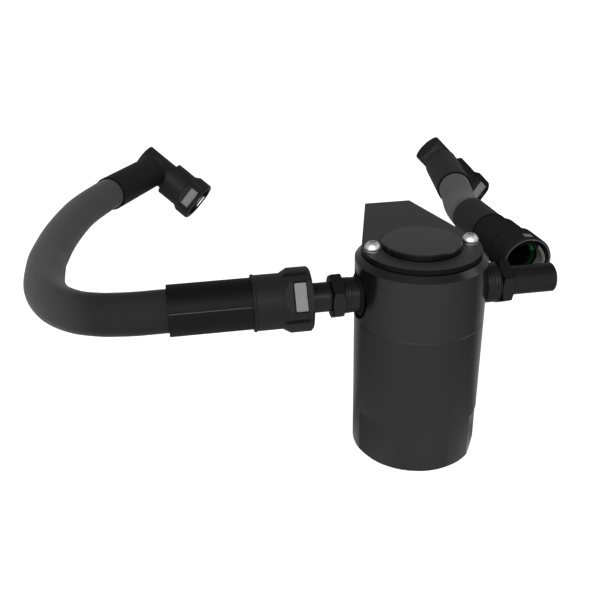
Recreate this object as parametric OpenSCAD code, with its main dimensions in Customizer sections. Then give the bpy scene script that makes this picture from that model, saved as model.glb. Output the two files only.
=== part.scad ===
// Oil catch can for a crankcase breather: a head on a folded bracket, a bowl that
// screws off, and two hose sets with push-fit connectors. Sizes are millimetres.

/* [Can] */
// Outside diameter of the head and the bowl
can_d = 70; // [68:1:80]
// Height of the bowl's rim above its base
bowl_h = 81.5; // [70:0.5:110]
// Height of the head's straight wall above the joint
head_h = 33.4; // [33:0.2:45]
// Size of the bevel round the head's top edge
shoulder = 3; // [2.5:0.5:4]
// Wall of the bowl below its thread
bowl_wall = 6.4; // [6.2:0.1:10]
// Thickness of the bowl's floor
floor_t = 5; // [3:0.5:8]
// Depth of the wrench flats on the bowl
flat_depth = 1.4; // [0.6:0.1:2]
// Height of the wrench flats
flats_h = 27.4; // [15:0.2:40]
// Size of the bevel round the bowl's foot
foot_bevel = 1.5; // [0.5:0.1:2.5]
// Gap that shows between the bowl's rim and the head
seam = 0.2; // [0.1:0.1:0.6]
// Width of the bowl's rim outside the thread
rim_w = 5; // [5:0.1:5.7]
// Length of the threaded skirt
neck_l = 12; // [9:0.5:15]

/* [Inside the head] */
// Bore that seats the mesh filter
seat_d = 44; // [40:0.5:46]
// Height of the mesh filter
filter_h = 12; // [8:0.5:12]
// Thickness of the baffle plate
baffle_t = 1.5; // [1:0.1:2]
// Diameter of the holes in the baffle plate
baffle_hole_d = 3.6; // [2:0.2:5]
// Number of holes in the baffle plate
baffle_holes = 12; // [6:1:14]
// Thickness of the retaining ring
ring_t = 1.2; // [0.8:0.1:1.4]
// Outside diameter of the down tube
tube_d = 16; // [13:0.5:18]
// Wall of the down tube
tube_wall = 1.5; // [0.8:0.1:1.6]
// Reach of the down tube below the head's skirt
tube_drop = 18; // [5:1:30]

/* [Ports] */
// Height of the port axis above the joint
port_rise = 14.7; // [13.5:0.1:15.5]
// Diameter of the flat cut round each port
spot_d = 26.4; // [24:0.2:27]
// Depth of that flat below the can's side
spot_depth = 2.6; // [1.5:0.1:3]
// Depth of the adapter's thread in the head
port_depth = 8.4; // [6:0.2:9]
// Diameter of the adapter's thread
port_thread_d = 19; // [18.5:0.1:20]
// Thread that shows between the head and the hexagon
thread_shown = 10.3; // [6:0.1:16]
// Distance across the hexagon's flats
hex_w = 22.2; // [20.6:0.1:26]
// Thickness of the hexagon
hex_t = 6.5; // [5:0.5:10]
// Diameter of the smooth spigot
spigot_d = 15.9; // [15:0.1:16.4]
// Length of the smooth spigot
spigot_l = 25.8; // [22:0.2:35]
// Bore through the adapter
flow_d = 12.4; // [8:0.2:12.6]

/* [Bracket] */
// Thickness of the bracket's sheet
sheet_t = 2.5; // [2:0.5:4]
// Distance from the can's side in to the bracket's round edge
plate_inset = 3.6; // [2:0.1:4]
// Distance from the can's axis to the mounting face
reach = 73; // [60:1:100]
// Width of the bracket at the mounting face
tongue_w = 26; // [20:1:40]
// Drop of the mounting flange below the plate's top
flange_drop = 50; // [48:1:60]
// Distance from the plate's top down to the centre of the mounting holes
hole_down = 27; // [24:0.5:28]
// Distance between the mounting holes
hole_pitch = 25; // [20:1:30]
// Diameter of the mounting holes
hole_d = 6.6; // [5.5:0.1:8.4]
// Gap between the screws' washers and the head's boss
boss_clear = 1.1; // [0.5:0.1:3]
// Height of that boss above the plate
boss_up = 3.2; // [1:0.1:6]
// Distance from the bracket's round edge to its screws
screw_inset = 5; // [4.4:0.1:5.1]
// Thread diameter of the bracket screws
screw_d = 5; // [4:0.5:5]
// Diameter of the screws' round heads
screw_head_d = 8.6; // [7.6:0.1:9]

/* [Quick connectors] */
// Distance across the collar's ears
ears_d = 34.4; // [33:0.2:38]
// Distance across the collar's window faces
faces_w = 30.4; // [29.6:0.2:32]
// Length of the collar
collar_l = 11.6; // [11:0.1:14]
// Length of the taper behind the collar
taper_l = 4.1; // [3:0.1:6]
// Diameter of the connector behind the taper
barrel_d = 29.6; // [27:0.2:31]
// Length of the short straight connector
short_l = 30.7; // [26:0.1:36]
// Bore of the mouth that holds the lock clip
bell_d = 26.4; // [25.6:0.1:26.8]
// Height of the windows for the lock clip's pads
window_w = 16; // [10:0.5:18]
// Width of the windows along the connector
window_l = 7.2; // [5:0.1:7.4]
// Distance from the mouth to the windows
window_at = 3; // [2.6:0.1:3]
// Thickness of the sealing ring's section
seal_t = 2.4; // [1.6:0.1:2.6]
// Depth of the spigot in the fitted connector
plug_in = 15.2; // [14:0.2:18]

/* [Long connector] */
// Diameter of the long connector's collar
long_ears_d = 30.2; // [29.8:0.2:34]
// Distance across its window faces
long_faces_w = 29.2; // [28.8:0.2:30]
// Length of its collar
long_collar_l = 17; // [14:0.5:20]
// Diameter of its middle
long_mid_d = 27.2; // [25:0.2:29]
// Distance from its mouth to its shoulder
long_shoulder = 37.4; // [28:0.2:40]
// Diameter of its tail
long_tail_d = 23.4; // [23:0.2:27]
// Length of the long connector
long_l = 49.4; // [44:0.2:56]
// Bore of its mouth
long_bell_d = 27.2; // [26:0.1:27.6]
// Height of its windows
long_window_w = 7; // [6:0.5:12]

/* [Elbows] */
// Diameter of the elbow's plain end
elbow_d = 23.2; // [21:0.2:26]
// Distance from the hose's axis back to the closed end
elbow_back = 14.7; // [12:0.1:20]
// Distance from the hose's axis to the thicker part
elbow_step = 13.6; // [12:0.1:18]
// Distance from the hose's axis to the mouth
elbow_mouth = 45.9; // [42:0.1:56]
// Distance from the elbow's axis to the end of its hose branch
branch_l = 14; // [13:0.2:20]

/* [Hoses] */
// Outside diameter of the hoses
hose_d = 23; // [20:0.5:24]
// Wall of the sleeves beside the elbows
sleeve_t = 1.2; // [0.8:0.1:2]
// Wall of the sleeve behind the fitted connector
near_sleeve_t = 2.1; // [0.8:0.1:2.4]
// Length of that sleeve
near_sleeve_l = 43.5; // [30:0.5:50]
// Wall of the sleeve behind the long connector
loose_sleeve_t = 0.4; // [0.3:0.1:1.2]
// Sides of the hose section
hose_sides = 12; // [8:1:12]

/* [Hidden] */

can_r = can_d / 2;
edge = 0.25;                                 // small turned bevels
rim_z = bowl_h - seam / 2;                   // top of the bowl's rim
joint_z = bowl_h + seam / 2;                 // underside of the head's wall
neck_r = can_r - rim_w;                      // thread on the head's skirt
neck_gap = 0.3;                              // play in the bowl's thread
skirt_z = joint_z - neck_l;                  // lower end of the head
cord_t = 1.8;                                // section of the bowl's O-ring
groove_gap = 0.1;
o_ring_r = neck_r + 2.4;                     // middle of the bowl's O-ring
top_z = bowl_h + head_h + shoulder;          // head's top face
pad_h = 0.5;                                 // raised pad under the bracket
plate_r = can_r - plate_inset;               // bracket's round front
pad_r = plate_r - 1;
plate_z = top_z + pad_h;                     // underside of the bracket's plate
washer_r = screw_head_d / 2 + 0.1;
washer_t = 1.2;
screw_x = plate_r - screw_inset;
boss_r = screw_x - washer_r - boss_clear;
boss_gap = 0.2;

port_z = bowl_h + port_rise;
spot_x = can_r - spot_depth;                 // face that the port's O-ring lies on
stop_x = spot_x - port_depth;                // inner end of the adapter
hex_x = spot_x + thread_shown;
spigot_x = hex_x + hex_t;
end_x = spigot_x + spigot_l;                 // free end of the spigot
port_cord_t = 2.2;                           // section of the port's O-ring

seat_r = seat_d / 2;
seat_step = 2;                               // ledge above the filter
ring_groove = 1;
ring_play = 0.05;
ring_z = skirt_z + 1.2;                      // underside of the retaining ring
baffle_z = ring_z + ring_t;
filter_z = baffle_z + baffle_t;
ledge_z = filter_z + filter_h;               // ledge that the filter seats on
chamber_z = port_z + 13.3;                   // roof of the head's chamber
slip = 0.05;                                 // radial play of pushed-in pieces
tube_r = tube_d / 2;

screw_l = 12;                                // screw below its head
screw_seat_z = plate_z + sheet_t + washer_t;

mount_z = plate_z + sheet_t - hole_down;     // centre of the mounting holes

spigot_r = spigot_d / 2;
bore_gap = 0.1;                              // play of a spigot in a connector
bore_r = spigot_r + bore_gap;
bell_l = window_at + window_l + 0.2;         // depth of the mouth
pocket_l = seal_t + 0.2;
guide_l = 8;                                 // length of the connector's bore
clip_at = window_at + 0.3;                   // front of the lock clip in the mouth
clip_wall = 1.6;
clip_shift = 2;                              // makes the clip's ring wider than high
hose_r = hose_d / 2;
sleeve_r = hose_r + slip + sleeve_t;
hose_gap = 0.02;                             // between a hose's end and its elbow
mid_taper = 4;

// Fitted hose set: mouth of its connector, the hose's stations from that mouth, and
// the corner and mouth direction of its elbow
fitted_mouth = [-(end_x - plug_in), 0, port_z];
fitted_face = [0, -cos(30), sin(30)];
fitted_bend = [
  [-90, 1, -0.5], [-100, 4, -1.5], [-110, 8, -2.5], [-123, 17, -4], [-135, 32, -5],
  [-143, 54, -5.5], [-146, 84, -6], [-146, 104, -6.5], [-142.5, 140, -7],
  [-134, 183, -8], [-121, 217, -9], [-116, 228, -9.8]
];
fitted_corner = fitted_mouth + [-80.5, 301, -14];
fitted_aim = [0.714, -0.367, -0.591];
fitted_clock = 70;

// Loose hose set, standing by itself beside the outlet's spigot
loose_mouth = [70, 20.6, port_z];
loose_axis = [-0.062, 1, 0];
loose_face = [0.155, 0, 1];
loose_bend = [[-1.2, 98, -4], [4.9, 126, -8.8], [11.1, 156.5, -7.2]];
loose_corner = loose_mouth + [22, 228, -6.8];
loose_aim = [0.674, -0.116, -0.72];
loose_clock = 60;
loose_sleeve_l = 31.1;

function unit(v) = v / norm(v);
function last(v) = v[len(v) - 1];

// Whole route of each hose, from the connector's rear face to the elbow's branch
fitted_start = fitted_mouth - [short_l, 0, 0];
fitted_run = [for (p = fitted_bend) fitted_mouth + p];
fitted_dir = unit(fitted_corner - last(fitted_run));
fitted_route = concat(
  [fitted_start, fitted_start - [near_sleeve_l, 0, 0]],
  fitted_run,
  [fitted_corner - (branch_l + hose_gap) * fitted_dir]
);
loose_start = loose_mouth + long_l * unit(loose_axis);
loose_run = [for (p = loose_bend) loose_mouth + p];
loose_dir = unit(loose_corner - last(loose_run));
loose_route = concat(
  [loose_start, loose_start + loose_sleeve_l * unit(loose_axis)],
  loose_run,
  [loose_corner - (branch_l + hose_gap) * loose_dir]
);

// Smooth curve through the route, straight along its first and last stretch
function blend(a, b, c, d, t) =
  0.5 * (2 * b + (c - a) * t + (2 * a - 5 * b + 4 * c - d) * t * t
  + (3 * b - a - 3 * c + d) * t * t * t);
function smooth(p, k) = concat(
  [p[0]],
  [for (i = [1:len(p) - 3]) for (j = [0:k - 1])
    blend(p[i - 1], p[i], p[i + 1], p[i + 2], j / k)],
  [p[len(p) - 2], last(p)]
);
function heading(q, i) = unit(q[min(i + 1, len(q) - 1)] - q[max(i - 1, 0)]);
function side(q, i) = unit(cross(heading(q, i), [0, 0, 1]));
function ring_at(q, i, r, n) = [
  for (j = [0:n - 1])
    q[i] + r * (cos(360 * j / n) * side(q, i)
    + sin(360 * j / n) * cross(side(q, i), heading(q, i)))
];

// Moves the whole part so that the mounting holes' centre is the origin
module from_mount() {
  translate([0, -reach, -mount_z]) children();
}

// Places a piece with its Z along z and its X towards x
module aim(at, z, x) {
  w = unit(z);
  u = unit(x - (x * w) * w);
  v = cross(w, u);
  multmatrix([
    [u[0], v[0], w[0], at[0]],
    [u[1], v[1], w[1], at[1]],
    [u[2], v[2], w[2], at[2]],
    [0, 0, 0, 1]
  ]) children();
}

// A round bar along X from x0 to x1
module bar_x(x0, x1, r, fn = 64) {
  translate([x0, 0, 0]) rotate([0, 90, 0]) cylinder(h = x1 - x0, r = r, $fn = fn);
}

module tube(h, r1, r2, fn = 64) {
  difference() {
    cylinder(h = h, r = r2, $fn = fn);
    translate([0, 0, -1]) cylinder(h = h + 2, r = r1, $fn = fn);
  }
}

module o_ring(r, t) {
  rotate_extrude($fn = 96) translate([r, 0]) circle(d = t, $fn = 24);
}

module hose(route) {
  q = smooth(route, 3);
  n = hose_sides;
  m = len(q);
  pts = concat([for (i = [0:m - 1]) each ring_at(q, i, hose_r, n)], [q[0], q[m - 1]]);
  walls = [
    for (i = [0:m - 2]) for (j = [0:n - 1]) each [
      [i * n + j, (i + 1) * n + j, i * n + (j + 1) % n],
      [(i + 1) * n + j, (i + 1) * n + (j + 1) % n, i * n + (j + 1) % n]
    ]
  ];
  caps = [
    for (j = [0:n - 1]) each [
      [m * n, j, (j + 1) % n],
      [m * n + 1, (m - 1) * n + (j + 1) % n, (m - 1) * n + j]
    ]
  ];
  polyhedron(points = pts, faces = concat(walls, caps));
}

// Head: side wall, skirt, boss, chamber, ports, and the screws' holes
module head() {
  color("#303236") from_mount() difference() {
    rotate_extrude($fn = 128) polygon([
      [0, skirt_z], [neck_r - 1, skirt_z], [neck_r, skirt_z + 1], [neck_r, joint_z],
      [can_r - edge, joint_z], [can_r, joint_z + edge], [can_r, bowl_h + head_h],
      [can_r - shoulder, top_z], [pad_r, top_z], [pad_r, plate_z], [boss_r, plate_z],
      [boss_r, plate_z + sheet_t + boss_up - 0.6],
      [boss_r - 0.6, plate_z + sheet_t + boss_up], [0, plate_z + sheet_t + boss_up]
    ]);
    translate([0, 0, skirt_z - 1])
      cylinder(h = ledge_z - skirt_z + 1, r = seat_r, $fn = 96);
    translate([0, 0, skirt_z - 1])
      cylinder(h = chamber_z - skirt_z + 1, r = seat_r - seat_step, $fn = 96);
    translate([0, 0, ring_z - ring_play])
      cylinder(h = ring_t + 2 * ring_play, r = seat_r + ring_groove, $fn = 96);
    for (s = [0, 180]) translate([0, 0, port_z]) rotate([0, 0, s]) {
      bar_x(spot_x, can_r + 1, spot_d / 2);
      bar_x(stop_x, can_r + 1, port_thread_d / 2);
      bar_x(seat_r - seat_step - 3, can_r, tube_r + slip);
    }
    for (s = [-1, 1]) translate([s * screw_x, 0, plate_z - 10])
      cylinder(h = 11, r = screw_d / 2, $fn = 32);
  }
}

// Bowl: turned cup with wrench flats, a threaded mouth and an O-ring groove
module bowl() {
  color("#2c2e31") from_mount() difference() {
    rotate_extrude($fn = 128) polygon([
      [0, 0], [can_r - foot_bevel, 0], [can_r, foot_bevel], [can_r, rim_z - edge],
      [can_r - edge, rim_z], [0, rim_z]
    ]);
    translate([0, 0, floor_t]) cylinder(h = bowl_h, r = can_r - bowl_wall, $fn = 96);
    translate([0, 0, skirt_z - 1.5])
      cylinder(h = bowl_h, r = neck_r + neck_gap, $fn = 96);
    translate([0, 0, joint_z - cord_t - groove_gap])
      tube(cord_t + 2, o_ring_r - cord_t / 2 - groove_gap,
        o_ring_r + cord_t / 2 + groove_gap, 96);
    for (k = [0:5]) rotate([0, 0, 30 + 60 * k])
      translate([can_r - flat_depth, -can_r, -1]) cube([can_r, can_d, flats_h + 1]);
  }
}

module bowl_o_ring() {
  color("#151515") from_mount() translate([0, 0, joint_z - cord_t / 2])
    o_ring(o_ring_r, cord_t);
}

// Bracket: one folded sheet, cut to a round front and a tapering tongue
module bracket() {
  r = plate_r;
  far = [tongue_w / 2, reach];
  a = atan2(far[1], far[0]) - acos(r / norm(far));
  bend_r = 0.5;
  color("#3a3c40") from_mount() difference() {
    intersection() {
      translate([-r - 1, 0, plate_z + sheet_t]) rotate([90, 0, 90])
        linear_extrude(2 * r + 2) fold_profile(bend_r);
      translate([0, 0, plate_z + sheet_t - flange_drop - 1])
        linear_extrude(flange_drop + 2) union() {
          circle(r = r, $fn = 128);
          polygon([
            [r * cos(a), r * sin(a)], far, [-far[0], far[1]],
            [-r * cos(a), r * sin(a)]
          ]);
        }
    }
    translate([0, 0, plate_z - 1])
      cylinder(h = sheet_t + 2, r = boss_r + boss_gap, $fn = 128);
    for (s = [-1, 1]) {
      translate([s * screw_x, 0, plate_z - 1])
        cylinder(h = sheet_t + 2, r = screw_d / 2 + 0.2, $fn = 32);
      translate([0, reach + 1, mount_z + s * hole_pitch / 2]) rotate([90, 0, 0])
        cylinder(h = sheet_t + 2, r = hole_d / 2, $fn = 48);
    }
  }
}

// Section of the folded sheet: plate, bend and flange, from the plate's top down
module fold_profile(bend_r) {
  out = bend_r + sheet_t;
  translate([-can_d, -sheet_t]) square([can_d + reach - out, sheet_t]);
  translate([reach - sheet_t, -flange_drop]) square([sheet_t, flange_drop - out]);
  translate([reach - out, -out]) intersection() {
    difference() {
      circle(r = out, $fn = 48);
      circle(r = bend_r, $fn = 24);
    }
    square([out, out]);
  }
}

module bracket_screws() {
  rise = 3.3;
  dome = (screw_head_d * screw_head_d / 4 + rise * rise) / (2 * rise);
  color("#c8cacc") from_mount() for (s = [-1, 1])
    translate([s * screw_x, 0, screw_seat_z]) difference() {
      union() {
        translate([0, 0, -screw_l])
          cylinder(h = screw_l + 0.4, r = screw_d / 2 - slip, $fn = 32);
        intersection() {
          cylinder(h = 3.5, d = screw_head_d, $fn = 48);
          translate([0, 0, 0.6 + rise - dome]) sphere(r = dome, $fn = 48);
        }
      }
      translate([0, 0, 1.6]) cylinder(h = 3, d = 3.4, $fn = 6);
    }
}

module bracket_washers() {
  color("#b8babc") from_mount() for (s = [-1, 1])
    translate([s * screw_x, 0, plate_z + sheet_t])
      tube(washer_t, screw_d / 2 + 0.15, washer_r, 48);
}

// Adapter along +X: thread, hexagon and smooth spigot, bored through
module adapter() {
  color("#26272a") difference() {
    union() {
      bar_x(stop_x, hex_x, port_thread_d / 2 - slip);
      intersection() {
        translate([hex_x, 0, 0]) rotate([0, 90, 0])
          cylinder(h = hex_t, r = hex_w / sqrt(3), $fn = 6);
        translate([hex_x, 0, 0]) rotate([0, 90, 0]) rotate_extrude($fn = 64)
          polygon([
            [0, 0], [hex_w / 2 - 0.2, 0], [hex_w / sqrt(3) + 0.1, 1],
            [hex_w / sqrt(3) + 0.1, hex_t - 1], [hex_w / 2 - 0.2, hex_t], [0, hex_t]
          ]);
      }
      translate([spigot_x, 0, 0]) rotate([0, 90, 0]) rotate_extrude($fn = 64)
        polygon([
          [0, -1], [spigot_r, -1], [spigot_r, spigot_l - 0.5],
          [spigot_r - 0.5, spigot_l], [0, spigot_l]
        ]);
    }
    bar_x(stop_x - 1, end_x + 1, flow_d / 2);
  }
}

module inlet_adapter() {
  from_mount() translate([0, 0, port_z]) rotate([0, 0, 180]) adapter();
}

module outlet_adapter() {
  from_mount() translate([0, 0, port_z]) adapter();
}

module port_o_ring() {
  translate([spot_x + port_cord_t / 2, 0, 0]) rotate([0, 90, 0])
    o_ring(port_thread_d / 2 + port_cord_t / 2, port_cord_t);
}

module inlet_port_o_ring() {
  color("#151515") from_mount() translate([0, 0, port_z]) rotate([0, 0, 180])
    port_o_ring();
}

module outlet_port_o_ring() {
  color("#151515") from_mount() translate([0, 0, port_z]) port_o_ring();
}

// Tube that turns the inlet's flow down into the bowl
module inlet_down_tube() {
  low_z = skirt_z - tube_drop;
  color("#a8aaac") from_mount() difference() {
    union() {
      translate([0, 0, low_z])
        cylinder(h = port_z + tube_r + 1 - low_z, r = tube_r, $fn = 64);
      translate([0, 0, port_z]) bar_x(-stop_x, 0, tube_r);
    }
    translate([0, 0, low_z - 1])
      cylinder(h = port_z + tube_r - tube_wall - low_z, r = tube_r - tube_wall, $fn = 64);
    translate([0, 0, port_z]) bar_x(-stop_x - 1, 0, tube_r - tube_wall);
  }
}

module mesh_filter() {
  color("#8d7a4d") from_mount() translate([0, 0, filter_z])
    tube(filter_h, tube_r + slip, seat_r - slip, 96);
}

module baffle_plate() {
  mid = (tube_r + seat_r) / 2;
  color("#b0b2b4") from_mount() translate([0, 0, baffle_z]) difference() {
    tube(baffle_t, tube_r + slip, seat_r - slip, 96);
    for (k = [0:baffle_holes - 1]) rotate([0, 0, 360 * k / baffle_holes])
      translate([mid, 0, -1]) cylinder(h = baffle_t + 2, d = baffle_hole_d, $fn = 24);
  }
}

module baffle_retaining_ring() {
  color("#9a9c9e") from_mount() translate([0, 0, ring_z]) difference() {
    tube(ring_t, seat_r - 2.4, seat_r + ring_groove - slip, 96);
    translate([0, -4, -1]) cube([can_r, 8, ring_t + 2]);
  }
}

// Outside of a push-fit mouth: Z runs back from the mouth, X faces the windows
module mouth_outside(ears, faces, collar, taper, barrel, l) {
  intersection() {
    rotate_extrude($fn = 96) polygon([
      [0, 0], [ears / 2 - 1, 0], [ears / 2, 1], [ears / 2, collar],
      [barrel / 2, collar + taper], [barrel / 2, l], [0, l]
    ]);
    translate([-faces / 2, -ears, -1]) cube([faces, 2 * ears, l + 2]);
  }
}

// Room inside a push-fit mouth: lock clip, sealing ring, bore and windows
module mouth_inside(bell, depth, win_w, faces) {
  translate([0, 0, -1]) cylinder(h = depth + 1, d = bell, $fn = 64);
  translate([0, 0, depth - 1])
    cylinder(h = pocket_l + 1, r = bore_r + seal_t + slip, $fn = 64);
  translate([0, 0, depth]) cylinder(h = pocket_l + guide_l, r = bore_r, $fn = 64);
  translate([-faces / 2 - 1, -win_w / 2, window_at])
    cube([faces + 2, win_w, window_l]);
}

// Shallow grooves beside the windows
module mouth_grooves(ears, faces, collar) {
  g = sqrt(ears * ears - faces * faces) / 2 + 4.2;
  for (a = [-1, 1]) for (b = [-1, 1])
    translate([a * faces / 2, b * g, collar / 2 + 3]) cube([7.6, 1.2, collar], center = true);
}

// Room where two cylinders overlap: wider across the windows than towards them
module oval(r, z, h) {
  intersection() {
    translate([-clip_shift, 0, z]) cylinder(h = h, r = r, $fn = 64);
    translate([clip_shift, 0, z]) cylinder(h = h, r = r, $fn = 64);
  }
}

// One-piece lock clip: oval ring in the mouth and two pads that stand in the windows
module lock_clip(bell, win_w, faces) {
  pad = win_w - 0.6;
  r = bell / 2 - 0.4;
  l = window_l - 0.6;
  color("#9b9da0") difference() {
    union() {
      oval(r, clip_at, l);
      translate([-faces / 2 + 0.8, -pad / 2, clip_at]) cube([faces - 1.6, pad, l]);
    }
    oval(r - clip_wall, clip_at - 1, l + 2);
    for (s = [-1, 1]) translate([s * faces / 2 - 1.5, -0.6, clip_at - 1])
      cube([3, 1.2, 1.8]);
  }
}

module seal_ring(depth) {
  translate([0, 0, depth + pocket_l / 2]) o_ring(bore_r + seal_t / 2, seal_t);
}

// Elbow: Z points out of its mouth, Y towards the hose
module elbow(clock) {
  color("#2b2c2f") difference() {
    union() {
      translate([0, 0, -elbow_back])
        cylinder(h = elbow_back + elbow_step + 1, d = elbow_d, $fn = 64);
      rotate([-90, 0, 0]) rotate_extrude($fn = 64) polygon([
        [0, 0], [elbow_d / 2 - 0.3, 0], [elbow_d / 2 - 0.3, branch_l - 3.4],
        [sleeve_r, branch_l - 1], [sleeve_r, branch_l], [0, branch_l]
      ]);
      translate([0, 0, elbow_mouth]) rotate([180, 0, clock]) difference() {
        mouth_outside(ears_d, faces_w, collar_l, taper_l, barrel_d,
          elbow_mouth - elbow_step);
        mouth_grooves(ears_d, faces_w, collar_l);
      }
    }
    translate([0, 0, elbow_mouth]) rotate([180, 0, clock]) {
      mouth_inside(bell_d, bell_l, window_w, faces_w);
      for (s = [-1, 1]) translate([s * faces_w / 2, 0, 1.6])
        cube([6, window_w, 1], center = true);
    }
    translate([0, 0, -elbow_back + 4])
      cylinder(h = elbow_mouth, r = flow_d / 2, $fn = 64);
    rotate([-90, 0, 0]) cylinder(h = branch_l + 1, r = flow_d / 2, $fn = 64);
  }
}

module at_elbow(corner, mouth_aim, dir) {
  z = unit(mouth_aim - (mouth_aim * dir) * dir);
  aim(corner, z, cross(-dir, z)) children();
}

module at_fitted_elbow() {
  from_mount() at_elbow(fitted_corner, fitted_aim, fitted_dir) children();
}

module at_loose_elbow() {
  from_mount() at_elbow(loose_corner, loose_aim, loose_dir) children();
}

module in_elbow_mouth(clock) {
  translate([0, 0, elbow_mouth]) rotate([180, 0, clock]) children();
}

module at_fitted_mouth() {
  from_mount() aim(fitted_mouth, [-1, 0, 0], fitted_face) children();
}

module at_loose_mouth() {
  from_mount() aim(loose_mouth, loose_axis, loose_face) children();
}

// Fitted hose set
module inlet_connector() {
  color("#2b2c2f") at_fitted_mouth() difference() {
    mouth_outside(ears_d, faces_w, collar_l, taper_l, barrel_d, short_l);
    mouth_grooves(ears_d, faces_w, collar_l);
    mouth_inside(bell_d, bell_l, window_w, faces_w);
    cylinder(h = short_l + 1, r = flow_d / 2, $fn = 64);
  }
}

module inlet_lock_clip() {
  at_fitted_mouth() lock_clip(bell_d, window_w, faces_w);
}

module inlet_seal_ring() {
  color("#1c1c1c") at_fitted_mouth() seal_ring(bell_l);
}

module inlet_near_sleeve() {
  color("#1d1d1f") at_fitted_mouth() translate([0, 0, short_l])
    tube(near_sleeve_l, hose_r + slip, hose_r + slip + near_sleeve_t);
}

module inlet_hose() {
  color("#444648") from_mount() hose(fitted_route);
}

module inlet_far_sleeve() {
  from = last(fitted_run);
  color("#252527") from_mount() aim(from, fitted_dir, [0, 0, 1])
    tube(norm(fitted_corner - from) - branch_l, hose_r + slip, sleeve_r);
}

module inlet_elbow() {
  at_fitted_elbow() elbow(fitted_clock);
}

module inlet_elbow_lock_clip() {
  at_fitted_elbow() in_elbow_mouth(fitted_clock)
    lock_clip(bell_d, window_w, faces_w);
}

module inlet_elbow_seal_ring() {
  color("#1c1c1c") at_fitted_elbow() in_elbow_mouth(fitted_clock) seal_ring(bell_l);
}

// Loose hose set
module outlet_connector() {
  color("#2b2c2f") at_loose_mouth() difference() {
    union() {
      mouth_outside(long_ears_d, long_faces_w, long_collar_l, mid_taper, long_mid_d,
        long_shoulder);
      rotate_extrude($fn = 64) polygon([
        [0, long_shoulder - 1], [long_tail_d / 2, long_shoulder - 1],
        [long_tail_d / 2, long_l], [0, long_l]
      ]);
    }
    mouth_inside(long_bell_d, bell_l, long_window_w, long_faces_w);
    cylinder(h = long_l + 1, r = flow_d / 2, $fn = 64);
  }
}

module outlet_lock_clip() {
  at_loose_mouth() lock_clip(long_bell_d, long_window_w, long_faces_w);
}

module outlet_seal_ring() {
  color("#2f7d4a") at_loose_mouth() seal_ring(bell_l);
}

module outlet_near_sleeve() {
  color("#303032") at_loose_mouth() translate([0, 0, long_l])
    tube(loose_sleeve_l, hose_r + slip, hose_r + slip + loose_sleeve_t);
}

module outlet_hose() {
  color("#6a6c6e") from_mount() hose(loose_route);
}

module outlet_far_sleeve() {
  from = last(loose_run);
  color("#454547") from_mount() aim(from, loose_dir, [0, 0, 1])
    tube(norm(loose_corner - from) - branch_l, hose_r + slip, sleeve_r);
}

module outlet_elbow() {
  at_loose_elbow() elbow(loose_clock);
}

module outlet_elbow_lock_clip() {
  at_loose_elbow() in_elbow_mouth(loose_clock)
    lock_clip(bell_d, window_w, faces_w);
}

module outlet_elbow_seal_ring() {
  color("#1c1c1c") at_loose_elbow() in_elbow_mouth(loose_clock) seal_ring(bell_l);
}

head();
bowl();
bowl_o_ring();
bracket();
bracket_screws();
bracket_washers();
inlet_adapter();
outlet_adapter();
inlet_port_o_ring();
outlet_port_o_ring();
inlet_down_tube();
mesh_filter();
baffle_plate();
baffle_retaining_ring();
inlet_connector();
inlet_lock_clip();
inlet_seal_ring();
inlet_near_sleeve();
inlet_hose();
inlet_far_sleeve();
inlet_elbow();
inlet_elbow_lock_clip();
inlet_elbow_seal_ring();
outlet_connector();
outlet_lock_clip();
outlet_seal_ring();
outlet_near_sleeve();
outlet_hose();
outlet_far_sleeve();
outlet_elbow();
outlet_elbow_lock_clip();
outlet_elbow_seal_ring();
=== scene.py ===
import math

import bpy
from mathutils import Matrix, Vector


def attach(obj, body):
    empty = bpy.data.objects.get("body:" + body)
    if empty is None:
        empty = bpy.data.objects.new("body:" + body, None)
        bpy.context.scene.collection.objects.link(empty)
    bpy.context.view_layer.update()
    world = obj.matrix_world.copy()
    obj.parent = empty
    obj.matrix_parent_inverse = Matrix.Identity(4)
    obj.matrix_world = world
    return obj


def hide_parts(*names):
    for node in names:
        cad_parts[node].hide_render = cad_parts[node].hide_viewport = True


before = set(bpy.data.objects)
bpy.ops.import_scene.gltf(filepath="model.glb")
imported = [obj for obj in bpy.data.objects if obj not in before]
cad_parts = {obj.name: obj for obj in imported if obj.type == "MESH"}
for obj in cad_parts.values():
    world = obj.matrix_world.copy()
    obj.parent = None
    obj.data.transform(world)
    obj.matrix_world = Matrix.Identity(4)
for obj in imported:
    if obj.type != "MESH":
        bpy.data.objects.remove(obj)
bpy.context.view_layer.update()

scene = bpy.context.scene
scene.view_settings.view_transform = "Standard"

# Sizes of the part's source, in millimetres of the can's own frame
MM = 0.001                # in metres
MOUNT = (0, 73.0, 93.9)   # the row frame's origin, at the bracket's holes
CAN_R = 35.0
JOINT_Z = 81.5            # seam between the head and the bowl
SHOULDER_Z = 114.9        # top of the head's straight wall
PORT_Z = 96.2             # axis of both ports
SPOT_R = 13.2             # flat cut round each port
SPOT_DEPTH = 2.6
HEX_X = 42.7              # inner face of each hexagon
FLAT_DEPTH = 1.4          # wrench flats on the bowl
FLATS_H = 27.4
SCREW_X = 26.4            # bracket screws, left and right of the boss
SHORT_L = 30.7            # straight connector of the fitted set
LONG_L = 49.4             # straight connector of the loose set
NEAR_SLEEVE_L = 43.5      # sleeve behind the fitted connector
LOOSE_SLEEVE_L = 31.1     # sleeve behind the loose connector
BRANCH_L = 14             # elbow's branch, from its corner
HOSE_R = 11.5

# Directions of the row frame and of the can's own frame
X, Y, Z = Vector((1, 0, 0)), Vector((0, 1, 0)), Vector((0, 0, 1))


def at(p):
    """A point of the can's own frame, in millimetres, in the row frame in metres."""
    return Vector([(c - m) / 1000 for c, m in zip(p, MOUNT)])


def node(name):
    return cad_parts[name]


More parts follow.
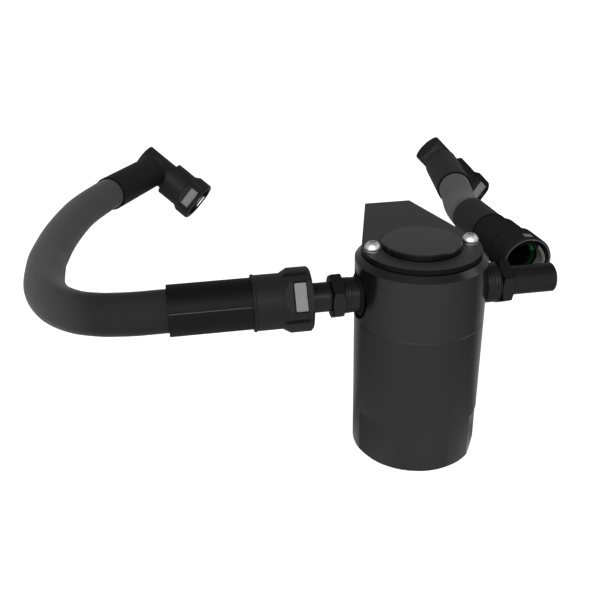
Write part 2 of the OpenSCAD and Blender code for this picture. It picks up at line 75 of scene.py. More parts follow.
# Camera, fitted to the can's rings, ports and bracket in the photograph
CAMERA_AT = (-121.79, -372.78, 282.95)
YAW, PITCH, ROLL = 0.150966, 0.460927, -0.022041
SENSOR, LENS = 36, 47.94


def camera_axes(yaw, pitch, roll):
    """The camera's right, up and backward directions."""
    forward = Vector((math.sin(yaw) * math.cos(pitch), math.cos(yaw) * math.cos(pitch), -math.sin(pitch)))
    level = Vector((math.cos(yaw), -math.sin(yaw), 0))
    above = level.cross(forward)
    right = level * math.cos(roll) + above * math.sin(roll)
    return right, above * math.cos(roll) - level * math.sin(roll), -forward


cam_data = bpy.data.cameras.new("camera")
cam_data.sensor_width = SENSOR
cam_data.lens = LENS
cam_data.clip_start = 0.01
cam = bpy.data.objects.new("camera", cam_data)
scene.collection.objects.link(cam)
cam_axes = Matrix(camera_axes(YAW, PITCH, ROLL)).transposed()
cam.matrix_world = Matrix.Translation(at(CAMERA_AT)) @ cam_axes.to_4x4()
scene.camera = cam


# Mesh helpers
def add_mesh(name, verts, faces, uvs=None, smooth=True):
    mesh = bpy.data.meshes.new(name)
    mesh.from_pydata([tuple(v) for v in verts], [], faces)
    if uvs:
        layer = mesh.uv_layers.new(name="along")
        for poly in mesh.polygons:
            for loop, vertex in zip(poly.loop_indices, poly.vertices):
                layer.data[loop].uv = uvs[vertex]
    mesh.validate()
    mesh.update()
    if smooth:
        mesh.shade_smooth()
    ob = bpy.data.objects.new(name, mesh)
    scene.collection.objects.link(ob)
    return ob


def skin(name, rings, closed_ends=False, along=None, around=1.0):
    """Rings of equal length joined into one skin; along and around are the lengths for its texture."""
    sides = len(rings[0])
    row = sides + 1
    along = along or range(len(rings))
    verts, faces, uvs = [], [], []
    for ring, distance in zip(rings, along):
        for j in range(row):
            verts.append(ring[j % sides])
            uvs.append((j / sides * around, distance))
    for first in range(0, row * (len(rings) - 1), row):
        for a in range(first, first + sides):
            faces.append((a, a + 1, a + row + 1, a + row))
    if closed_ends:
        last = row * (len(rings) - 1)
        faces.append(tuple(reversed(range(sides))))
        faces.append(tuple(range(last, last + sides)))
    return add_mesh(name, verts, faces, uvs)


def circle(centre, u, v, r, sides):
    angles = [2 * math.pi * j / sides for j in range(sides)]
    return [centre + r * (math.cos(a) * u + math.sin(a) * v) for a in angles]


def axes(z, x):
    """Three square directions: the third along z, and the first as near to x as it can be."""
    w = z.normalized()
    u = (x - x.dot(w) * w).normalized()
    return u, w.cross(u), w


def blend(a, b, c, d, t):
    """A point of the smooth curve from b to c, with a before them and d behind."""
    slope = c - a
    square = 2 * a - 5 * b + 4 * c - d
    cube = 3 * b - a - 3 * c + d
    return 0.5 * (2 * b + slope * t + square * t * t + cube * t ** 3)


def smooth_path(p, steps):
    """A smooth curve through the points, straight along its first and last stretch."""
    parts = [j / steps for j in range(steps)]
    curve = [p[0] + (p[1] - p[0]) * t for t in parts]
    for i in range(1, len(p) - 2):
        curve += [blend(p[i - 1], p[i], p[i + 1], p[i + 2], t) for t in parts]
    curve += [p[-2] + (p[-1] - p[-2]) * t for t in parts]
    return curve + [p[-1]]


def even_path(curve, step):
    """The same path in steps of about one length, and its whole length."""
    reached = [0.0]
    for a, b in zip(curve, curve[1:]):
        reached.append(reached[-1] + (b - a).length)
    total = reached[-1]
    count = max(2, round(total / step))
    path, k = [], 0
    for i in range(count + 1):
        want = total * i / count
        while k < len(reached) - 2 and reached[k + 1] < want:
            k += 1
        part = (want - reached[k]) / max(1e-9, reached[k + 1] - reached[k])
        path.append(curve[k].lerp(curve[k + 1], min(1, part)))
    return path, total


def tube(name, path, radius, sides):
    """A round skin along a path, kept upright; its texture runs in metres along and around."""
    rings, along, distance = [], [], 0.0
    for i, p in enumerate(path):
        way = (path[min(i + 1, len(path) - 1)] - path[max(i - 1, 0)]).normalized()
        side = way.cross(Z).normalized()
        if i:
            distance += (p - path[i - 1]).length
        rings.append(circle(p, side, side.cross(way), radius, sides))
        along.append(distance)
    return skin(name, rings, closed_ends=True, along=along, around=2 * math.pi * radius)


# Hose routes, as in the part's source
fitted_mouth = Vector((-59.8, 0, PORT_Z))
fitted_axis = -X
fitted_bend = [
    (-90, 1, -0.5), (-100, 4, -1.5), (-110, 8, -2.5), (-123, 17, -4), (-135, 32, -5), (-143, 54, -5.5),
    (-146, 84, -6), (-146, 104, -6.5), (-142.5, 140, -7), (-134, 183, -8), (-121, 217, -9), (-116, 228, -9.8),
]
fitted_corner = fitted_mouth + Vector((-80.5, 301, -14))
fitted_aim = Vector((0.714, -0.367, -0.591))
loose_mouth = Vector((70, 20.6, PORT_Z))
loose_axis = Vector((-0.062, 1, 0)).normalized()
loose_bend = [(-1.2, 98, -4), (4.9, 126, -8.8), (11.1, 156.5, -7.2)]
loose_corner = loose_mouth + Vector((22, 228, -6.8))
loose_aim = Vector((0.674, -0.116, -0.72))


def route(mouth, axis, connector_l, sleeve_l, bend, corner):
    """A hose's points from its connector to its elbow's branch, and the direction it ends in."""
    start = mouth + connector_l * axis
    run = [mouth + Vector(p) for p in bend]
    way = (corner - run[-1]).normalized()
    points = [start, start + sleeve_l * axis] + run + [corner - BRANCH_L * way]
    return [at(p) for p in points], way


def mouth_way(aim, hose_way):
    """The direction that an elbow's mouth looks in: its aim, made square to the hose."""
    return (aim - aim.dot(hose_way) * hose_way).normalized()


fitted_route, fitted_way = route(
    fitted_mouth, fitted_axis, SHORT_L, NEAR_SLEEVE_L, fitted_bend, fitted_corner)
loose_route, loose_way = route(
    loose_mouth, loose_axis, LONG_L, LOOSE_SLEEVE_L, loose_bend, loose_corner)
fitted_mouth_way = mouth_way(fitted_aim, fitted_way)
loose_mouth_way = mouth_way(loose_aim, loose_way)


def hose(key, points, body):
    """A hose's visible skin, in place of the CAD hose, which it hides."""
    path, total = even_path(smooth_path(points, steps=10), step=2 * MM)
    ob = tube(key + "_hose_skin", path, HOSE_R * MM, sides=64)
    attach(ob, body)
    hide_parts(key + "_hose")
    return ob


inlet_hose = hose("inlet", fitted_route, "fitted_hose_set")
outlet_hose = hose("outlet", loose_route, "can")


# Node helpers
def clear_tree(owner):
    owner.use_nodes = True
    owner.node_tree.nodes.clear()
    return owner.node_tree


def feed(tree, socket, value):
    """Links a node's output to the socket, or sets the socket to a plain value."""
    if isinstance(value, bpy.types.NodeSocket):
        tree.links.new(value, socket)
    else:
        socket.default_value = value


def operate(tree, kind, operation, values):
    made = tree.nodes.new(kind)
    made.operation = operation
    for socket, value in zip(made.inputs, values):
        feed(tree, socket, value)
    return made


def math_node(tree, operation, *values):
    return operate(tree, "ShaderNodeMath", operation, values).outputs[0]


def vector_node(tree, operation, *values):
    made = operate(tree, "ShaderNodeVectorMath", operation, values)
    return made.outputs["Value" if operation in ("DOT_PRODUCT", "LENGTH") else "Vector"]


def map_range(tree, value, lo, hi, to_lo=0.0, to_hi=1.0, kind="LINEAR"):
    made = tree.nodes.new("ShaderNodeMapRange")
    made.interpolation_type = kind
    for name, limit in (("From Min", lo), ("From Max", hi), ("To Min", to_lo), ("To Max", to_hi)):
        made.inputs[name].default_value = limit
    tree.links.new(value, made.inputs["Value"])
    return made.outputs[0]


def mix_colour(tree, factor, a, b, kind="MIX"):
    """The colour sockets of a Mix node are its inputs 6 and 7 and its output 2."""
    made = tree.nodes.new("ShaderNodeMix")
    made.data_type = "RGBA"
    made.blend_type = kind
    for i, value in ((0, factor), (6, a), (7, b)):
        feed(tree, made.inputs[i], value)
    return made.outputs[2]


def split(tree, vector):
    made = tree.nodes.new("ShaderNodeSeparateXYZ")
    tree.links.new(vector, made.inputs[0])
    return made.outputs


def noise(tree, coords, scale, detail):
    made = tree.nodes.new("ShaderNodeTexNoise")
    made.inputs["Scale"].default_value = scale
    made.inputs["Detail"].default_value = detail
    tree.links.new(coords.outputs["Object"], made.inputs["Vector"])
    return made.outputs["Fac"]


# Masks, with sizes in millimetres. Each gives a function that builds it: one inside, zero elsewhere
def between(lo, hi):
    """Between two heights."""
    def build(tree, coords):
        z = split(tree, coords.outputs["Object"])[2]
        above = math_node(tree, "GREATER_THAN", z, at((0, 0, lo)).z)
        below = math_node(tree, "LESS_THAN", z, at((0, 0, hi)).z)
        return math_node(tree, "MULTIPLY", above, below)
    return build


def upright(most=0.6):
    """On upright faces, whose normals point up or down by less than that."""
    def build(tree, coords):
        geometry = tree.nodes.new("ShaderNodeNewGeometry")
        z = split(tree, geometry.outputs["True Normal"])[2]
        return math_node(tree, "LESS_THAN", math_node(tree, "ABSOLUTE", z), most)
    return build


def facing(way, lo, hi):
    """On faces that turn towards a direction, rising between two cosines."""
    def build(tree, coords):
        geometry = tree.nodes.new("ShaderNodeNewGeometry")
        return map_range(tree, vector_node(tree, "DOT_PRODUCT", geometry.outputs["Normal"], way), lo, hi)
    return build


def offset(tree, coords, point):
    """From a point of the can's frame to the place that is shaded."""
    return vector_node(tree, "SUBTRACT", coords.outputs["Object"], at(point))


def in_box(origin, ways, lo, hi, outside=False):
    """Inside, or else outside, a box that stands on its own three directions."""
    def build(tree, coords):
        off = offset(tree, coords, origin)
        inside = 1.0
        for way, a, b in zip(ways, lo, hi):
            d = vector_node(tree, "DOT_PRODUCT", off, way)
            for operation, limit in (("GREATER_THAN", a), ("LESS_THAN", b)):
                inside = math_node(tree, "MULTIPLY", inside, math_node(tree, operation, d, limit * MM))
        return math_node(tree, "SUBTRACT", 1.0, inside) if outside else inside
    return build


def round_line(point, way, near, far, side=None):
    """Round a line, falling between two radii; side keeps it short of a plane, as (direction, distance)."""
    def build(tree, coords):
        off = offset(tree, coords, point)
        radius = vector_node(tree, "LENGTH", vector_node(tree, "CROSS_PRODUCT", off, way))
        inside = map_range(tree, radius, near * MM, far * MM, 1.0, 0.0)
        if side:
            short = math_node(tree, "LESS_THAN", vector_node(tree, "DOT_PRODUCT", off, side[0]), side[1] * MM)
            inside = math_node(tree, "MULTIPLY", inside, short)
        return inside
    return build


# Reliefs. Each gives a function that adds its pattern to a fine noise
def braid(period, strand=0.8, grain=0.5):
    """Over-and-under diagonal braid, from the skin's own coordinates."""
    def build(tree, coords, fine):
        uv = split(tree, coords.outputs["UV"])
        waves = []
        for operation in ("ADD", "SUBTRACT"):
            diagonal = math_node(tree, operation, uv[0], uv[1])
            angle = math_node(tree, "MULTIPLY", diagonal, 2 * math.pi / (period * MM))
            waves.append(math_node(tree, "SINE", angle))
        strands = math_node(tree, "ABSOLUTE", math_node(tree, "MULTIPLY", *waves))
        strands = math_node(tree, "MULTIPLY", strands, strand)
        return math_node(tree, "ADD", strands, math_node(tree, "MULTIPLY", fine, grain))
    return build


def turned(pitch, amount):
    """Fine turning marks round the can's axis."""
    def build(tree, coords, fine):
        z = split(tree, coords.outputs["Object"])[2]
        wave = math_node(tree, "SINE", math_node(tree, "MULTIPLY", z, 2 * math.pi / (pitch * MM)))
        return math_node(tree, "ADD", math_node(tree, "MULTIPLY", wave, amount), fine)
    return build


# Materials, by the short names that the pieces are dressed with
materials = {}


def add_material(key, name, base, rough, metallic=0.0, spec=0.5, vary=0.15, scale=900.0, bump=0.05,
                 bump_scale=2500.0, rough_vary=0.08, sheen=0.0, pattern=None, shade=()):
    """A mottled surface with a fine relief; shade lists masks and what each multiplies its area by."""
    materials[key] = bpy.data.materials.new(name)
    tree = clear_tree(materials[key])
    out = tree.nodes.new("ShaderNodeOutputMaterial")
    surface = tree.nodes.new("ShaderNodeBsdfPrincipled")
    tree.links.new(surface.outputs[0], out.inputs[0])
    surface.inputs["Metallic"].default_value = metallic
    surface.inputs["Sheen Weight"].default_value = sheen
    surface.inputs["Sheen Roughness"].default_value = 0.3
    coords = tree.nodes.new("ShaderNodeTexCoord")
    mottle = noise(tree, coords, scale, detail=4)

    dark = [c * (1 - vary) for c in base]
    pale = [min(1, c * (1 + vary)) for c in base]
    colour = mix_colour(tree, mottle, (*dark, 1), (*pale, 1))
    gloss = spec
    for mask, level in shade:
        area = mask(tree, coords)
        colour = mix_colour(tree, area, colour, (level, level, level, 1), "MULTIPLY")
        kept = math_node(tree, "SUBTRACT", 1.0, math_node(tree, "MULTIPLY", area, 1 - level))
        gloss = math_node(tree, "MULTIPLY", kept, gloss)
    feed(tree, surface.inputs["Base Color"], colour)
    feed(tree, surface.inputs["Specular IOR Level"], gloss)
    smoothest, roughest = max(0.03, rough - rough_vary), min(1, rough + rough_vary)
    feed(tree, surface.inputs["Roughness"], map_range(tree, mottle, 0.0, 1.0, smoothest, roughest))

    fine = noise(tree, coords, bump_scale, detail=3)
    relief = tree.nodes.new("ShaderNodeBump")
    relief.inputs["Strength"].default_value = bump
    relief.inputs["Distance"].default_value = 0.2 * MM
    feed(tree, relief.inputs["Height"], pattern(tree, coords, fine) if pattern else fine)
    feed(tree, surface.inputs["Normal"], relief.outputs[0])


def top_of(name):
    """Height of a CAD piece's top, in millimetres of the can's frame."""
    return MOUNT[2] + 1000 * max(v.co.z for v in node(name).data.vertices)


# Anodised head and bowl, with painted light on the seam between them and on the shoulder
plate_top = top_of("bracket")
joint_light = between(JOINT_Z - 0.4, JOINT_Z + 0.4)
shoulder_light = between(SHOULDER_Z + 0.1, plate_top - 0.8)
# Painted shade on the boss's foot, where it stands in the bracket's hole
boss_foot_shade = between(plate_top - 0.8, plate_top + 0.5)
# Painted shade on the flat round the left port, for its shadow and the dark connector mirrored in it
port_flat_shade = round_line((-CAN_R, 0, PORT_Z), X, near=SPOT_R + 0.1, far=SPOT_R + 0.5, side=(X, SPOT_DEPTH))


def wrench_flat_shade(angle):
    """The wrench flat whose normal stands at an angle round the can, in degrees, as the area of a painted
    shade.
    """
    c, s = math.cos(math.radians(angle)), math.sin(math.radians(angle))
    face = CAN_R - FLAT_DEPTH
    half = math.sqrt(CAN_R ** 2 - face ** 2) - 0.04
    ways = ((c, s, 0), (-s, c, 0), Z)
    return in_box((0, 0, 0), ways, (face - 0.3, -half, -1), (face + 0.15, half, FLATS_H + 0.1))


ANODISED = dict(base=(0.004, 0.004, 0.0041), rough=0.22, rough_vary=0.03, bump=0.03,
                pattern=turned(pitch=0.4, amount=0.3))
add_material("head", "black_anodised_head", spec=0.32, **ANODISED,
             shade=((joint_light, 2.2), (shoulder_light, 1.1), (boss_foot_shade, 0.05), (port_flat_shade, 0.15)))
# The bowl takes the painted light on the seam, and painted shade on the wrench flat that faces left and to
# the front
add_material("bowl", "black_anodised_bowl", spec=0.285, **ANODISED,
             shade=((joint_light, 2.2), (wrench_flat_shade(210), 0.72)))

# Bracket, with its screws and washers, and painted shade on them
washer_top = top_of("bracket_washers")
# Painted shade round each washer's top, under its screw's head
washer_edge_shade = between(washer_top - 0.45, washer_top + 0.1)
# Painted shade in the screws' sockets
screw_socket_shades = [round_line((x, 0, 0), Z, near=1.2, far=1.6) for x in (-SCREW_X, SCREW_X)]
# Painted shade on the bracket's upright edges
add_material("bracket", "black_powder_coat", (0.017, 0.017, 0.0172), rough=0.5, spec=0.31, bump=0.15,
             bump_scale=1600, shade=((upright(), 0.2),))
add_material("steel", "bright_steel", (0.72, 0.72, 0.725), rough=0.42, metallic=1.0, bump=0.02,
             shade=[(socket, 0.2) for socket in screw_socket_shades])
add_material("washer", "bright_washer", (0.5, 0.5, 0.505), rough=0.5, metallic=1.0, bump=0.02,
             shade=((washer_edge_shade, 0.04),))

# Adapters and the metal inside the can
# Painted shade on the adapters' faces that turn to the left, and a lighter painted shade on those that turn
# up
add_material("fitting", "black_fitting", (0.0105, 0.0105, 0.0107), rough=0.32, spec=0.13, bump=0.02,
             shade=((facing(-X, lo=0.75, hi=0.95), 0.05), (facing(Z, lo=0.3, hi=0.9), 0.75)))
add_material("bronze", "filter_mesh", (0.42, 0.32, 0.16), rough=0.45, metallic=0.9, bump=0.8, bump_scale=1800)
add_material("alu", "plain_aluminium", (0.6, 0.61, 0.62), rough=0.35, metallic=1.0, bump=0.05)

# Connectors and elbows
WINDOW_TILT = math.radians(30)
window_out = Vector((0, -math.cos(WINDOW_TILT), math.sin(WINDOW_TILT)))
window_up = Vector((0, math.sin(WINDOW_TILT), math.cos(WINDOW_TILT)))
fitted_box = (fitted_mouth, (window_out, window_up, fitted_axis))
# Painted shade in the fitted connector's side grooves
groove_shades = [in_box(*fitted_box, (9, lo, 2.5), (20, hi, 14.8)) for lo, hi in ((11.4, 13.1), (-13.1, -11.4))]
# Painted shade inside the loose connector's mouth, and a painted highlight on its lip
loose_inside_shade = round_line(loose_mouth, loose_axis, near=11.8, far=12.0, side=(loose_axis, 27))
loose_lip_highlight = round_line(loose_mouth, loose_axis, near=14.0, far=14.2, side=(loose_axis, 0.6))
# Painted shade on the loose elbow's mouth
loose_elbow_mouth_shade = round_line(loose_corner, loose_mouth_way, near=30, far=31, side=(-loose_mouth_way, -14))

MOULDED = dict(bump=0.1, bump_scale=3500)
# Painted light on the fitted connector's upward faces
add_material("plastic", "black_moulded_plastic", (0.0118, 0.0119, 0.0121), rough=0.45, spec=0.09, **MOULDED,
             shade=((facing(Z, lo=0.6, hi=1.0), 1.3), *((groove, 0.35) for groove in groove_shades)))
# The loose connector's copy of the same plastic, lighter as painted light
add_material("plastic_out", "black_moulded_plastic_lit_copy", (0.018, 0.018, 0.0182), rough=0.6, spec=0.0, **MOULDED,
             shade=((loose_inside_shade, 0.2), (loose_lip_highlight, 6)))
add_material("elbow", "black_elbow_plastic", (0.015, 0.0151, 0.0153), rough=0.5, spec=0.1, **MOULDED)
# The loose elbow's copy of the elbow plastic, lighter as painted light, with painted shade on its upward
# faces and its mouth
add_material("elbow_out", "black_elbow_plastic_lit_copy", (0.045, 0.045, 0.0452), rough=0.6, spec=0.0, **MOULDED,
             shade=((facing(Z, lo=0.2, hi=0.6), 0.6), (loose_elbow_mouth_shade, 0.55)))

# Lock clips, grey where a pad fills its window, with painted shade round the pads and inside each mouth
PAD_HALF = 7.35           # half a pad's height
PAD_ENDS = (3.1, 9.45)    # where it begins and ends, from the mouth
CLIP = dict(base=(0.2, 0.2, 0.203), rough=0.5, bump=0.05)
off_pad_shade = in_box(*fitted_box, (-40, -PAD_HALF, PAD_ENDS[0]), (40, PAD_HALF, PAD_ENDS[1]), outside=True)
add_material("clip_in", "grey_clip_plastic_shaded_1", spec=0.2, **CLIP, shade=((off_pad_shade, 0.05),))
add_material("clip_out", "grey_clip_plastic_shaded_2", spec=0.2, **CLIP,
             shade=((round_line(loose_mouth, loose_axis, near=12.2, far=12.4, side=(X, 7.5)), 0.06),
                    (round_line(loose_mouth, loose_axis, near=12.2, far=12.4), 0.55)))
add_material("clip_elbow_in", "grey_clip_plastic_shaded_3", spec=0.1, **CLIP,
             shade=((round_line(fitted_corner, fitted_mouth_way, near=11.8, far=12.0), 0.2),))
add_material("clip_elbow_out", "grey_clip_plastic_shaded_4", spec=0.1, **CLIP,
             shade=((round_line(loose_corner, loose_mouth_way, near=11.8, far=12.0), 0.2),))

# Sealing rings, whose black also paints the shadow rings at the sleeves' ends; the green one is in painted
# shadow below its upper arc
add_material("rubber", "black_rubber_and_shadow", (0.006, 0.006, 0.006), rough=0.7, spec=0.05)
add_material("green", "green_seal_rubber", (0.008, 0.13, 0.04), rough=0.5, spec=0.1,
             shade=((between(-1000, PORT_Z + 2.5), 0.12),))

# Shrink sleeves, as copies of one black at three levels of painted light
SHRINK = dict(bump=0.15, bump_scale=700)
add_material("sleeve", "black_shrink_sleeve", (0.0042, 0.0042, 0.0044), rough=0.5, spec=0.085, **SHRINK)
add_material("sleeve_out", "black_shrink_sleeve_lit_copy", (0.023, 0.023, 0.0232), rough=0.55, spec=0.06, **SHRINK)
add_material("sleeve_far", "black_shrink_sleeve_half_lit_copy", (0.012, 0.012, 0.0122), rough=0.55, spec=0.06, **SHRINK)
# The seam is a raised line, lighter as a painted highlight
add_material("seam", "sleeve_seam_highlight", (0.06, 0.06, 0.061), rough=0.4, spec=0.3)

# Woven hose covers; painted shade darkens the left hose towards the can
WOVEN = dict(rough=0.85, spec=0.03, vary=0.25, scale=1500, bump=0.3, pattern=braid(period=1.4))
add_material("hose_in", "dark_hose_cover", (0.074, 0.074, 0.075), sheen=0.22, **WOVEN,
             shade=((round_line((-60, 0, 0), Z, near=112, far=150), 0.3),))
add_material("hose_out", "grey_hose_cover", (0.105, 0.105, 0.107), sheen=0.1, **WOVEN)


def paint(ob, key):
    ob.data.materials.clear()
    ob.data.materials.append(materials[key])


def add_bevel(ob, name, width, segments, limit):
    bevel = ob.modifiers.new(name, "BEVEL")
    bevel.width = width * MM
    bevel.segments = segments
    bevel.limit_method = limit
    return bevel


def dress(name, key, width):
    """A CAD piece's material, and its edges rounded by a width."""
    ob = node(name)
    for slot in ob.material_slots:
        slot.material = materials[key]
    if width:
        bevel = add_bevel(ob, "edges", width, segments=2, limit="ANGLE")
        bevel.angle_limit = math.radians(32)
        bevel.harden_normals = True


for name, key, width in (
    ("head", "head", 0.3), ("bowl", "bowl", 0.3), ("bowl_o_ring", "rubber", 0),
    ("bracket", "bracket", 0.3), ("bracket_screws", "steel", 0.2), ("bracket_washers", "washer", 0.1),
    ("inlet_adapter", "fitting", 0.2), ("outlet_adapter", "fitting", 0.2),
    ("inlet_port_o_ring", "rubber", 0), ("outlet_port_o_ring", "rubber", 0),
    ("inlet_down_tube", "alu", 0), ("mesh_filter", "bronze", 0),
    ("baffle_plate", "alu", 0), ("baffle_retaining_ring", "alu", 0),
):
    dress(name, key, width)

for name, inlet_key, outlet_key, width in (
    ("connector", "plastic", "plastic_out", 0.3), ("lock_clip", "clip_in", "clip_out", 0.2),
    ("seal_ring", "rubber", "green", 0), ("near_sleeve", "sleeve", "sleeve_out", 0.2),
    ("far_sleeve", "sleeve_far", "sleeve_out", 0.2), ("elbow", "elbow", "elbow_out", 0.3),
    ("elbow_lock_clip", "clip_elbow_in", "clip_elbow_out", 0.2), ("elbow_seal_ring", "rubber", "rubber", 0),
):
    dress("inlet_" + name, inlet_key, width)
    dress("outlet_" + name, outlet_key, width)

paint(inlet_hose, "hose_in")
paint(outlet_hose, "hose_out")


def round_shoulder(head):
    """A rounder edge where the head's wall turns in to its shoulder."""
    edge = []
    centre = at((0, 0, SHOULDER_Z))
    for v in head.data.vertices:
        off = head.matrix_world @ v.co - centre
        if abs(off.z) < 0.2 * MM and math.hypot(off.x, off.y) > (CAN_R - 0.5) * MM:
            edge.append(v.index)
    head.vertex_groups.new(name="shoulder_edge").add(edge, 1.0, "REPLACE")
    bevel = add_bevel(head, "shoulder", 1.2, segments=4, limit="VGROUP")
    bevel.vertex_group = "shoulder_edge"
    bevel.use_clamp_overlap = False
    head.modifiers.move(1, 0)


round_shoulder(node("head"))


# Pieces that only the picture needs
def add_piece(name, rings, key, body, closed_ends=False):
    ob = skin(name, rings, closed_ends)
    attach(ob, body)
    paint(ob, key)


def thread(name, side, start, root, steps=50, sides=72):
    """A thread of 16 turns an inch on the adapter's plain stretch, up to the hexagon."""
    pitch = 25.4 / 16
    ridge = 0.24
    closing_r = 9.3           # its ends close inside the adapter
    end = HEX_X - 0.02
    rings = []
    for k in range(-1, steps + 2):
        i = min(max(k, 0), steps)
        x = start + (end - start) * i / steps
        fade = min(1, i / 4, (steps - i) / 3)   # in over four steps and out over three
        ring = []
        for j in range(sides):
            a = 2 * math.pi * j / sides
            phase = (x / pitch + side * j / sides) % 1
            height = ridge * fade * min(1, 1.25 * (1 - abs(2 * phase - 1)))
            r = root + height if i == k else closing_r
            ring.append(at((side * x, r * math.cos(a), PORT_Z + r * math.sin(a))))
        rings.append(ring)
    add_piece(name, rings if side > 0 else rings[::-1], "fitting", "can")


thread("outlet_thread", side=1, start=34.8, root=10.7)
thread("inlet_thread", side=-1, start=38.6, root=9.41)


def turned_ring(name, centre, way, start, profile, key, body, sides=96):
    """A closed ring turned round a direction; its profile is in millimetres, as (along, radius)."""
    u, v, w = axes(way, start)
    rings = [circle(centre + w * along * MM, u, v, r * MM, sides) for along, r in profile + profile[:1]]
    add_piece(name, rings, key, body)


# The O-ring's edge, as it shows in the seam between the head and the bowl
# It takes the bowl's finish, and with it the painted light on the seam
turned_ring("bowl_seam_ring", at((0, 0, JOINT_Z)), Z, X,
            [(-0.08, 33.2), (-0.12, 34.8), (-0.06, 34.97), (0.06, 34.97), (0.12, 34.8), (0.08, 33.2)],
            "bowl", "bowl_seal", sides=128)


def end_shadow_ring(sleeve, way, inner, outer, long, body):
    """A black ring where a sleeve begins, put in as painted shadow round the sleeve's end; found from the
    sleeve's own end face.
    """
    same_face = 0.02 * MM
    points = [node(sleeve).matrix_world @ v.co for v in node(sleeve).data.vertices]
    depths = [p.dot(way) for p in points]
    face = [p for p, d in zip(points, depths) if d - min(depths) < same_face]
    turned_ring(sleeve + "_ring", sum(face, Vector()) / len(face), way, Z,
                [(0, inner), (0, outer), (long, outer), (long, inner)], "rubber", body)


end_shadow_ring("outlet_near_sleeve", loose_axis, inner=11.75, outer=12.25, long=-0.9, body="can")
end_shadow_ring("outlet_far_sleeve", loose_way, inner=11.55, outer=12.75, long=-0.5, body="can")
end_shadow_ring("inlet_far_sleeve", fitted_way, inner=11.55, outer=12.75, long=-0.5, body="fitted_hose_set")

# Rim at the fitted connector's rear end
rear_x = fitted_mouth.x - SHORT_L
turned_ring("inlet_connector_rim", at((rear_x, 0, PORT_Z)), X, Y,
            [(0.03, 14.5), (0.03, 15.0), (0.5, 15.25), (1.3, 15.25), (1.8, 14.6)],
            "plastic", "fitted_hose_set")


def sleeve_seam_highlight(name, angle, stations=24):
    """A raised line along the sleeve behind the fitted connector, lighter as a painted highlight."""
    inset = 0.4
    section = ((angle - 0.016, 13.6), (angle - 0.008, 13.75), (angle + 0.008, 13.75), (angle + 0.016, 13.6))
    rings = []
    for i in range(stations):
        x = rear_x - inset - (NEAR_SLEEVE_L - 2 * inset) * i / (stations - 1)
        rings.append([at((x, -r * math.cos(a), PORT_Z + r * math.sin(a))) for a, r in section])
    add_piece(name, rings[::-1], "seam", "fitted_hose_set", closed_ends=True)


sleeve_seam_highlight("inlet_sleeve_seam", math.radians(17.8))

# White floor
FRONT = (-0.311, -0.95, 0)        # level direction from the can to the camera
FLOOR_WHITE = 0.9
FLOOR_GLOW = 0.75                 # what the floor adds of its own for the camera
ground = at((0, 0, -0.1))


def floor_material():
    """White to the camera; the black surfaces mirror it brightest on the camera's side."""
    white = bpy.data.materials.new("floor_white")
    tree = clear_tree(white)
    rays = tree.nodes.new("ShaderNodeLightPath").outputs
    place = tree.nodes.new("ShaderNodeNewGeometry").outputs["Position"]
    way = vector_node(tree, "NORMALIZE", vector_node(tree, "SUBTRACT", place, ground))
    frontness = vector_node(tree, "DOT_PRODUCT", way, FRONT)
    before = map_range(tree, frontness, lo=-0.2, hi=0.9, to_lo=0.0, to_hi=0.5)
    behind = map_range(tree, frontness, lo=-0.3, hi=-0.65, to_lo=0.0, to_hi=0.25)

    mirrored = math_node(tree, "ADD", math_node(tree, "MULTIPLY", before, 1.2), 0.4)
    missing = math_node(tree, "MULTIPLY", math_node(tree, "SUBTRACT", 1.0, mirrored), rays["Is Glossy Ray"])
    level = math_node(tree, "MULTIPLY", math_node(tree, "SUBTRACT", 1.0, missing), FLOOR_WHITE)
    tone = tree.nodes.new("ShaderNodeCombineColor")
    for socket in tone.inputs:
        tree.links.new(level, socket)
    diffuse = tree.nodes.new("ShaderNodeBsdfDiffuse")
    tree.links.new(tone.outputs[0], diffuse.inputs[0])

    glow = tree.nodes.new("ShaderNodeEmission")
    to_camera = math_node(tree, "MULTIPLY", rays["Is Camera Ray"], FLOOR_GLOW)
    to_gloss = math_node(tree, "MULTIPLY", rays["Is Glossy Ray"], math_node(tree, "ADD", before, behind))
    feed(tree, glow.inputs["Strength"], math_node(tree, "ADD", to_camera, to_gloss))
    both = tree.nodes.new("ShaderNodeAddShader")
    tree.links.new(diffuse.outputs[0], both.inputs[0])
    tree.links.new(glow.outputs[0], both.inputs[1])
    out = tree.nodes.new("ShaderNodeOutputMaterial")
    tree.links.new(both.outputs[0], out.inputs[0])
    return white


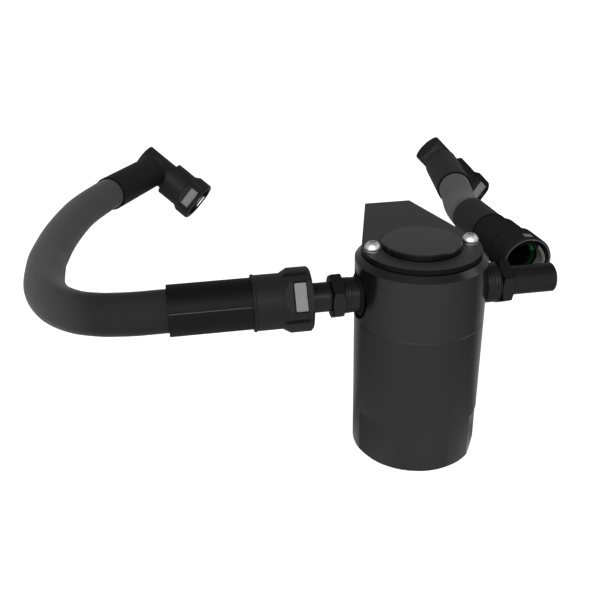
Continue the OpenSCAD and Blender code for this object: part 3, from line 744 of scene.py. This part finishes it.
corners = [Vector((x, y, ground.z)) for x, y in ((-4, -4), (4, -4), (4, 6), (-4, 6))]
floor = add_mesh("floor", corners, [(0, 1, 2, 3)], smooth=False)
floor.data.materials.append(floor_material())

# World: white to the camera, a plain level for matt surfaces, and for gloss brighter on the camera's side
MATT_LEVEL = 0.32
world = bpy.data.worlds.new("studio")
scene.world = world
tree = clear_tree(world)
rays = tree.nodes.new("ShaderNodeLightPath").outputs
sky = tree.nodes.new("ShaderNodeTexCoord").outputs["Generated"]
seen = math_node(tree, "MAXIMUM", rays["Is Camera Ray"], rays["Is Transmission Ray"])
by_height = map_range(tree, split(tree, sky)[2], lo=0.4, hi=0.85, to_lo=1.0, to_hi=0.62, kind="SMOOTHSTEP")
frontness = vector_node(tree, "DOT_PRODUCT", sky, FRONT)
by_side = map_range(tree, frontness, lo=-0.2, hi=0.9, to_lo=0.4, to_hi=0.95, kind="SMOOTHSTEP")
glossy = math_node(tree, "MULTIPLY", math_node(tree, "MULTIPLY", by_height, by_side), rays["Is Glossy Ray"])
matt = math_node(tree, "MULTIPLY", math_node(tree, "SUBTRACT", 1.0, rays["Is Glossy Ray"]), MATT_LEVEL)
background = tree.nodes.new("ShaderNodeBackground")
background.inputs["Color"].default_value = (1, 1, 1, 1)
strength = math_node(tree, "MAXIMUM", seen, math_node(tree, "ADD", glossy, matt))
feed(tree, background.inputs["Strength"], strength)
out = tree.nodes.new("ShaderNodeOutputWorld")
tree.links.new(background.outputs[0], out.inputs[0])


# Lamps, aimed at the mounting holes
def lamp(name, place, size, power):
    light = bpy.data.lights.new(name, "AREA")
    light.shape = "ELLIPSE"
    light.size, light.size_y = size
    light.energy = power
    ob = bpy.data.objects.new(name, light)
    scene.collection.objects.link(ob)
    ob.location = place
    ob.rotation_euler = (-Vector(place)).to_track_quat("-Z", "Y").to_euler()


lamp("key", (-0.42, -1.15, 0.75), size=(1.6, 0.8), power=17)
lamp("side", (1.2, -0.2, 0.7), size=(0.7, 0.7), power=1.5)
